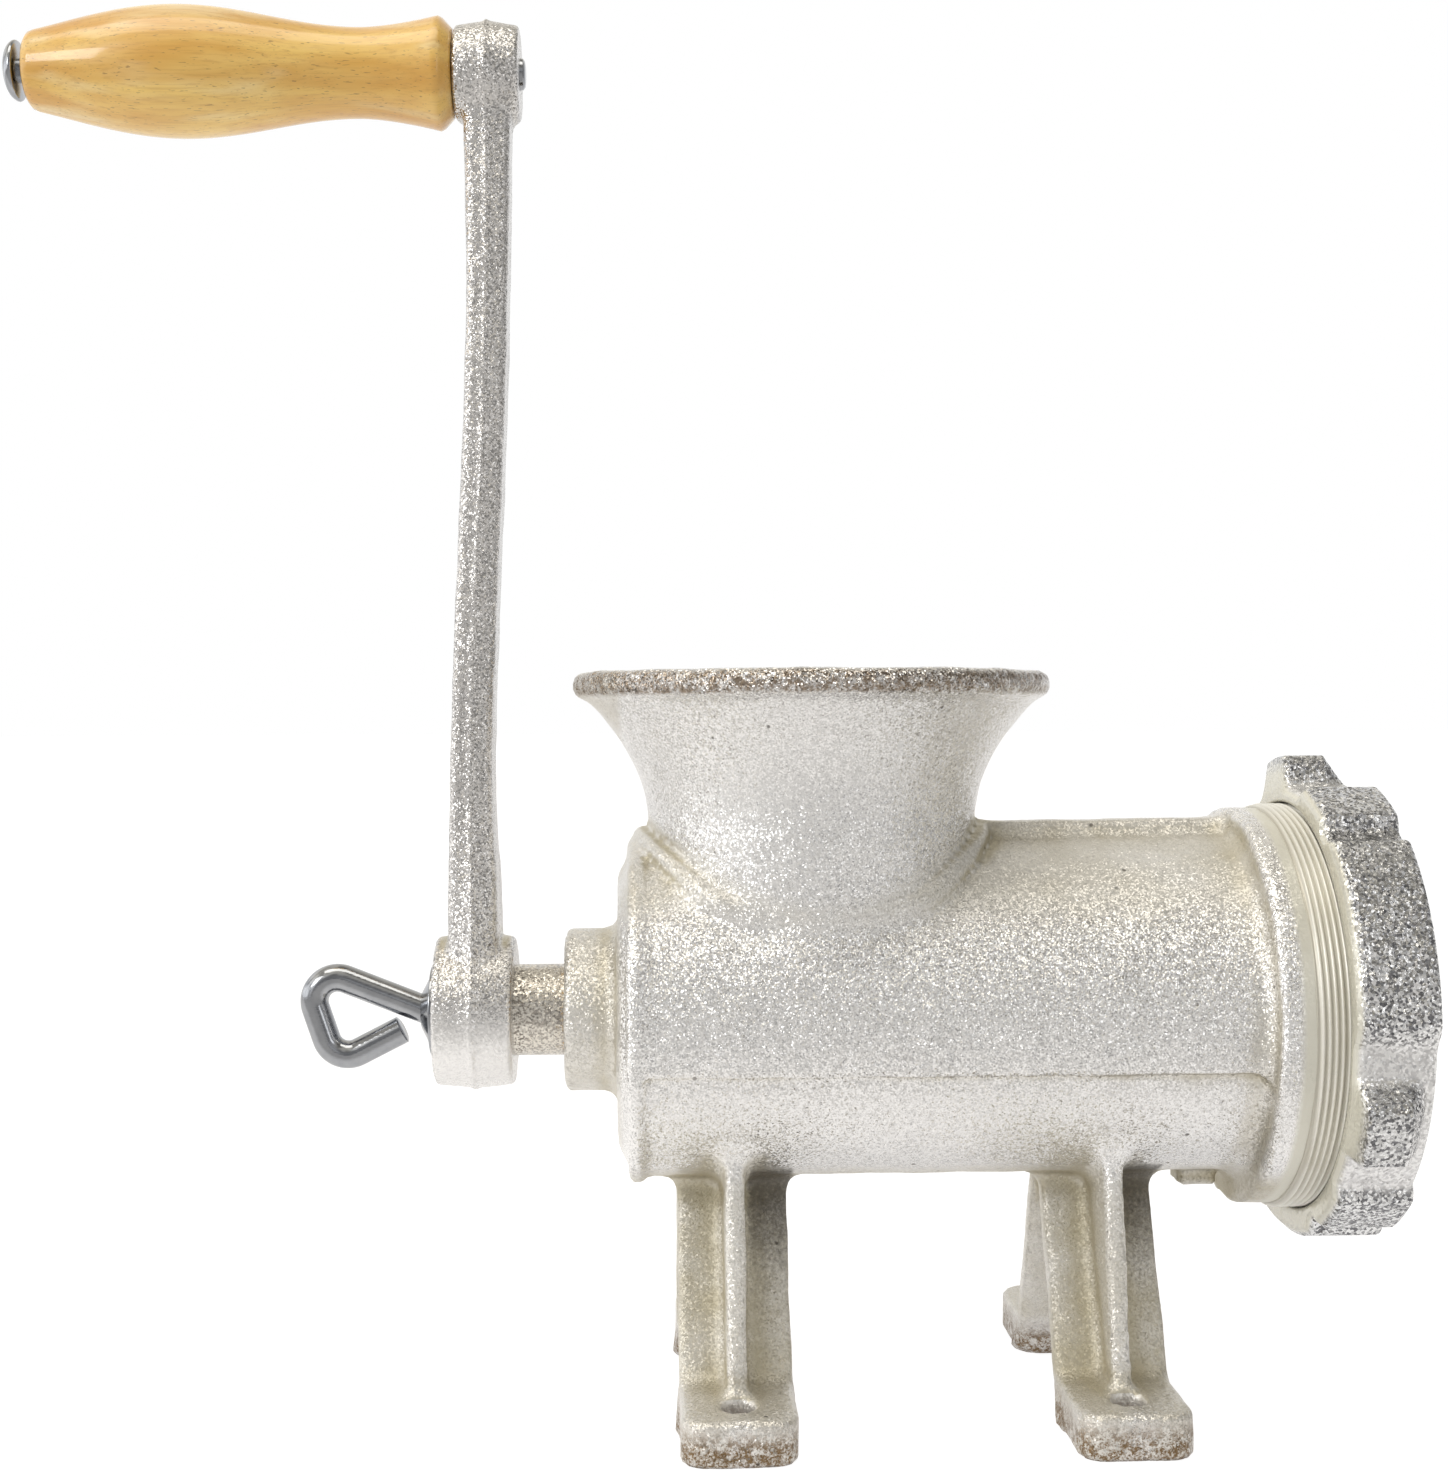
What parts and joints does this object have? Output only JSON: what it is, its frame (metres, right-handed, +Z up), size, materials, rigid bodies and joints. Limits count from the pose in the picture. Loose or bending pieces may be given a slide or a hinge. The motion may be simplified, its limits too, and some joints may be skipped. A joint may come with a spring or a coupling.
{
  "type": "manual meat grinder",
  "caption": "Hand-cranked meat grinder: a tinned cast barrel on splayed legs with a funnel hopper, feed screw, knife and plate held by a screw-on ring, and a wooden grip.",
  "frame": {"origin": "centre of the bolt holes in the feet, on the plane that the feet stand on", "axes": "+X along the feed screw towards the outlet ring, +Z up, +Y across the feed screw"},
  "size_m": [0.3872, 0.1375, 0.3977],
  "materials": {
    "cast_tin": "tinned cast iron, granular",
    "ring_tin": "tinned cast iron, coarse granular",
    "bright_zinc": "bright zinc plate",
    "tool_steel": "ground",
    "bronze": "machined",
    "varnished_wood": "clear varnish"
  },
  "bodies": {
    "housing": {"grinder_body": "cast_tin", "bearing_bush": "bronze", "plate_key_pin": "tool_steel"},
    "drive": {"feed_screw": "cast_tin", "knife_stud": "tool_steel", "knife": "tool_steel", "crank_arm": "cast_tin", "grip_spindle": "bright_zinc"},
    "grip": {"wooden_grip": "varnished_wood"},
    "eye_washer": {"eye_screw_washer": "bright_zinc"},
    "eye": {"eye_screw": "bright_zinc"},
    "plate": {"grinding_plate": "tool_steel"},
    "ring": {"ring_nut": "ring_tin"}
  },
  "joints": [
    {"name": "crank_turn", "type": "hinge", "parent": "housing", "child": "drive", "pos_m": [0, 0, 0.111], "axis": [1, 0, 0], "continuous": true},
    {"name": "grip_spin", "type": "hinge", "parent": "drive", "child": "grip", "pos_m": [-0.19, 0, 0.379], "axis": [1, 0, 0], "continuous": true},
    {"name": "plate_travel", "type": "slide", "parent": "housing", "child": "plate", "axis": [1, 0, 0], "range_m": [0, 0.0145]},
    {"name": "ring_unscrew", "type": "hinge", "parent": "plate", "child": "ring", "pos_m": [0.119, 0, 0.111], "axis": [1, 0, 0], "range_deg": [0, 2880]},
    {"name": "eye_washer_travel", "type": "slide", "parent": "drive", "child": "eye_washer", "axis": [-1, 0, 0], "range_m": [0, 0.0181]},
    {"name": "eye_unscrew", "type": "hinge", "parent": "eye_washer", "child": "eye", "pos_m": [-0.14, 0, 0.111], "axis": [-1, 0, 0], "range_deg": [0, 4320]}
  ],
  "couplings": [
    {"joint": "plate_travel", "follows": "ring_unscrew", "m_per_rad": 0.00028648},
    {"joint": "eye_washer_travel", "follows": "eye_unscrew", "m_per_rad": 0.00023873}
  ]
}
